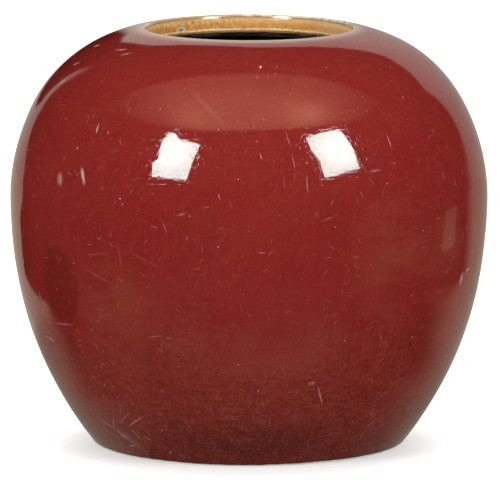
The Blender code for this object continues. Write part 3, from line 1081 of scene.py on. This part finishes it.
def overhead_glow(x, y):
    """Brightness of the bank: dim at its back and ends, with two lamps showing through its cloth."""
    level = 0.4 + 0.55 * step(y, OVERHEAD_BACK, -0.5)
    level *= 1.0 - 0.62 * step(np.abs(x), 0.55, 1.2)
    for lamp_x, lamp_y, extra in OVERHEAD_LAMPS:
        spread = ((x - lamp_x) ** 2 + (y - lamp_y) ** 2) / OVERHEAD_LAMP_SPREAD ** 2
        level = level + extra * np.exp(-spread)
    across = (x - OVERHEAD_CENTRE[0]) / OVERHEAD_HALF_WIDTH
    forward = np.minimum(y - OVERHEAD_CENTRE[1], 0.0) / OVERHEAD_HALF_DEPTH
    inside = step(np.hypot(across, forward), 1.07, 0.91)
    return OVERHEAD_GLOW * level * inside * step(y, OVERHEAD_BACK + 0.03, OVERHEAD_BACK - 0.05)


def overhead_bank():
    """A warm bank of light above the jar, bowed at its front edge."""
    xs = np.linspace(-1.55, 1.45, 121)
    ys = np.linspace(-1.3, 0.3, 81)
    outline = [[(x, y, OVERHEAD_HEIGHT) for x in xs] for y in ys]
    glows = [tinted(overhead_glow(xs, np.full_like(xs, y)), OVERHEAD_COLOUR) for y in ys]
    glowing_card("overhead_bank", outline, glows)


# The white sweep: a table top out to a radius, then an upright wall.
SWEEP_RADIUS = 1.5
SWEEP_HEIGHT = 1.6
SWEEP_HALF_WIDTH = 140
SWEEP_ROWS = 110
GROUND_TINT = (1.0, 0.88, 0.7)
WALL_FOOT_TINT = (1.0, 0.94, 0.82)
WALL_TOP_TINT = (1.0, 0.955, 0.88)

# Front edge of the lit part of the table, as distances out to the side and back.
LEFT_LIT_EDGE = ((0.05, 0.085, 0.108, 0.142, 0.187, 0.25, 0.27, 0.44, 0.65, 1.02),
                 (-0.06, -0.055, -0.022, -0.008, 0.02, 0.07, 0.26, 0.475, 0.65, 1.08))
RIGHT_LIT_EDGE = ((0.06, 0.075, 0.087, 0.11, 0.142, 0.187, 0.25, 0.32, 1.17),
                  (-0.046, -0.043, -0.038, -0.032, 0.004, 0.008, 0.055, 0.2, 0.92))
LEFT_GLOW, RIGHT_GLOW = 0.57, 0.44
LEFT_SHADE, RIGHT_SHADE = 0.4, 0.28
LEFT_HAZE = 0.09

# Edges of the lit parts of the wall: heights and bearings, or bearings and heights for the top.
WALL_RIGHT_SOFTNESS = ((0.15, 0.35), (11.0, 2.5))
WALL_LEFT_EDGE = ((0.1, 0.14, 0.2, 0.26, 0.45, 0.8), (42.5, 41.0, 37.5, 34.8, 34.3, 35.2))
WALL_TOP_EDGE = ((-50.0, -33.0, -15.0, 0.0, 12.0), (0.8, 1.03, 1.27, 1.45, 1.1))
WALL_MAIN_EDGE = ((0.15, 0.5, 0.75), (5.0, 8.0, 13.0))
WALL_SLIT_EDGE = ((0.1, 0.2, 0.3, 0.6, 0.9), (0.0, 24.0, 29.0, 30.5, 31.0))
BEARING_SOFTNESS = 0.7


def side_glow(sideways):
    """Brightness that drifts from the left of the sweep to its right."""
    return RIGHT_GLOW + (LEFT_GLOW - RIGHT_GLOW) * step(sideways, 0.1, -0.1)


def ground_glow(x, y):
    """Brightness of the sweep where it lies on the table."""
    reach = np.hypot(x, y)
    on_left = x < 0
    edge = np.where(on_left, np.interp(-x, *LEFT_LIT_EDGE), np.interp(x, *RIGHT_LIT_EDGE))
    soft = np.where(on_left, 0.03 - 0.02 * step(reach, 0.2, 0.26), 0.025 + 0.1 * reach)
    shade = np.where(on_left, LEFT_SHADE * step(reach, 0.25, 0.19), RIGHT_SHADE * step(reach, 0.2, 0.1))
    lit = side_glow(x) * (1.0 - shade) * step(y - edge, -soft, soft)
    haze = LEFT_HAZE * step(-x, 0.03, 0.06) * step(reach, 0.2, 0.14)
    return np.maximum(lit, haze)


def right_of(bearing, height, edge):
    """1 to the right of an edge of the wall, where bearings are smaller."""
    limit = np.interp(height, *edge)
    return step(bearing, limit + BEARING_SOFTNESS, limit - BEARING_SOFTNESS)


def wall_glow(bearing, height):
    """Brightness of the upright part of the sweep. Bearing is degrees from straight behind, positive left."""
    right_edge = step(bearing, -44.0 - np.interp(height, *WALL_RIGHT_SOFTNESS), -43.0)
    left_edge = right_of(bearing, height, WALL_LEFT_EDGE)
    top = np.interp(bearing, *WALL_TOP_EDGE)
    main_part = right_of(bearing, height, WALL_MAIN_EDGE) * step(height, top + 0.01, top - 0.01)
    low_part = (1.0 - right_of(bearing, height, WALL_SLIT_EDGE)) * 0.85 * step(height, 1.1, 0.55)
    level = side_glow(-bearing / 90.0) + 0.26 * step(height, 0.2, 1.0)
    return level * right_edge * left_edge * np.maximum(main_part, low_part)


def white_sweep():
    """White table top that turns up into a wall behind the jar, lit unevenly."""
    bearings = np.arange(-SWEEP_HALF_WIDTH, SWEEP_HALF_WIDTH + 0.5, 0.5)
    azimuths = np.radians(180.0 + bearings)
    across, along = np.sin(azimuths), -np.cos(azimuths)
    outline, glows = [], []
    for reach in SWEEP_RADIUS * np.linspace(0.21, 1.0, SWEEP_ROWS) ** 2:
        outline.append([(reach * x, reach * y, -0.001) for x, y in zip(across, along)])
        glows.append(tinted(ground_glow(reach * across, reach * along), GROUND_TINT))
    for height in np.linspace(0.0, SWEEP_HEIGHT, SWEEP_ROWS)[1:]:
        outline.append([(SWEEP_RADIUS * x, SWEEP_RADIUS * y, height) for x, y in zip(across, along)])
        share = min(1.0, height / 0.9)
        tint = (1 - share) * np.array(WALL_FOOT_TINT) + share * np.array(WALL_TOP_TINT)
        glows.append(tinted(wall_glow(bearings, height) * (np.abs(bearings) < 70.0), tint))
    glowing_card("white_sweep", outline, glows)


STRIP_PLACE = (0.35, 0.061)
STRIP_WIDTH = 0.073
STRIP_HEIGHTS = (0.028, 0.079)
STRIP_GLOW = 0.3


def side_strip():
    """A small pale card to the right of the jar, which shows as an upright bar in the glaze."""
    x, y = STRIP_PLACE
    half = STRIP_WIDTH / 2
    outline = [[(x - half * 0.3, y - half, z), (x + half * 0.3, y + half, z)] for z in STRIP_HEIGHTS]
    card("side_strip", outline, Glow("strip_glow").finish(WALL_FOOT_TINT, STRIP_GLOW))


FLOOR_RADIUS = 30.0
FLOOR_SIDES = 96
FLOOR_Z = -0.0002
WHITE = (1.0, 1.0, 1.0)
# The floor gives off light, more of it away from a point a little in front of the jar's axis.
SHADOW_MIDDLE = (0.0, -0.025, 0.0)
SHADOW_RADII = (0.058, 0.118)
FLOOR_GLOWS = (0.3, 0.9)


def floor():
    """A pale floor that the camera and the shadows see, but the glaze and the fill light do not."""
    angles = [2 * math.pi * i / FLOOR_SIDES for i in range(FLOOR_SIDES)]
    vertices = [(FLOOR_RADIUS * math.cos(a), FLOOR_RADIUS * math.sin(a), FLOOR_Z) for a in angles]
    material = bpy.data.materials.new("floor_white")
    g = Graph(material)
    away = g.vector("DISTANCE", g.add("TexCoord").outputs["Object"], SHADOW_MIDDLE)
    surface = {
        "Base Color": (0.9, 0.9, 0.9),
        "Roughness": 1.0,
        "Specular IOR Level": 0.0,
        "Emission Color": WHITE,
        "Emission Strength": g.ramp(away, *SHADOW_RADII, *FLOOR_GLOWS),
    }
    for name, value in surface.items():
        g.put(g.nodes["Principled BSDF"].inputs[name], value)
    obj = mesh_object("floor", vertices, [tuple(range(FLOOR_SIDES))], material)
    obj.visible_glossy = False
    obj.visible_diffuse = False


# Strength of the world light below and above, and the heights of direction it changes between.
FILL_LIGHT = (0.58, 0.6, -0.35, 0.25)
MIRRORED_ROOM = (0.05, 0.015, -0.4, -0.3)


def room():
    """World light: white behind everything, an even fill, and a dark room for the glaze to mirror."""
    world = bpy.data.worlds.new("studio")
    bpy.context.scene.world = world
    g = Graph(world)
    g.nodes.clear()
    path = g.add("LightPath")
    direction = g.add("SeparateXYZ", {0: g.add("TexCoord").outputs["Generated"]})

    def graded(below, above, start, end):
        level = g.ramp(direction.outputs["Z"], start, end, below, above)
        return g.add("Background", {"Strength": level}).outputs[0]

    def choose(is_so, otherwise, wanted):
        return g.add("MixShader", {0: is_so, 1: otherwise, 2: wanted}).outputs[0]

    seen = g.add("Background", {"Color": WHITE}).outputs[0]
    shown = choose(path.outputs["Is Glossy Ray"], graded(*FILL_LIGHT), graded(*MIRRORED_ROOM))
    shown = choose(path.outputs["Is Camera Ray"], shown, seen)
    g.add("OutputWorld", {"Surface": shown})


CAMERA_DISTANCE = 3.2032
CAMERA_ELEVATION = 8.738
CAMERA_ORBITS = Vector((0.0, 0.0, 0.0925))
CAMERA_AIMS_AT = Vector((0.0005, 0.0, 0.08918))
CAMERA_LENS = 518.4


def camera():
    data = bpy.data.cameras.new("camera")
    data.lens = CAMERA_LENS
    data.sensor_width = 36.0
    data.clip_end = 100.0
    obj = placed("camera", data)
    obj.location = toward(0.0, CAMERA_ELEVATION, CAMERA_DISTANCE, CAMERA_ORBITS)
    obj.rotation_euler = facing(obj.location, CAMERA_AIMS_AT)
    bpy.context.scene.camera = obj


def studio():
    for side, azimuth, elevation, outline in SOFTBOXES:
        key_light(f"key_{side}", azimuth, elevation)
        softbox_face(f"softbox_{side}", outline, azimuth, elevation)
    overhead_bank()
    white_sweep()
    side_strip()
    floor()
    room()
    camera()
    bpy.context.scene.view_settings.view_transform = "Standard"


def jar():
    clay = bare_clay()
    outer_coat(red_glaze())
    neck_coat(amber_glaze())
    mouth_collar(clay)
    inner_liner(liner_glaze())
    standing_foot(clay)
    underside(base_glaze())
    hidden_clay(clay)


jar()
studio()
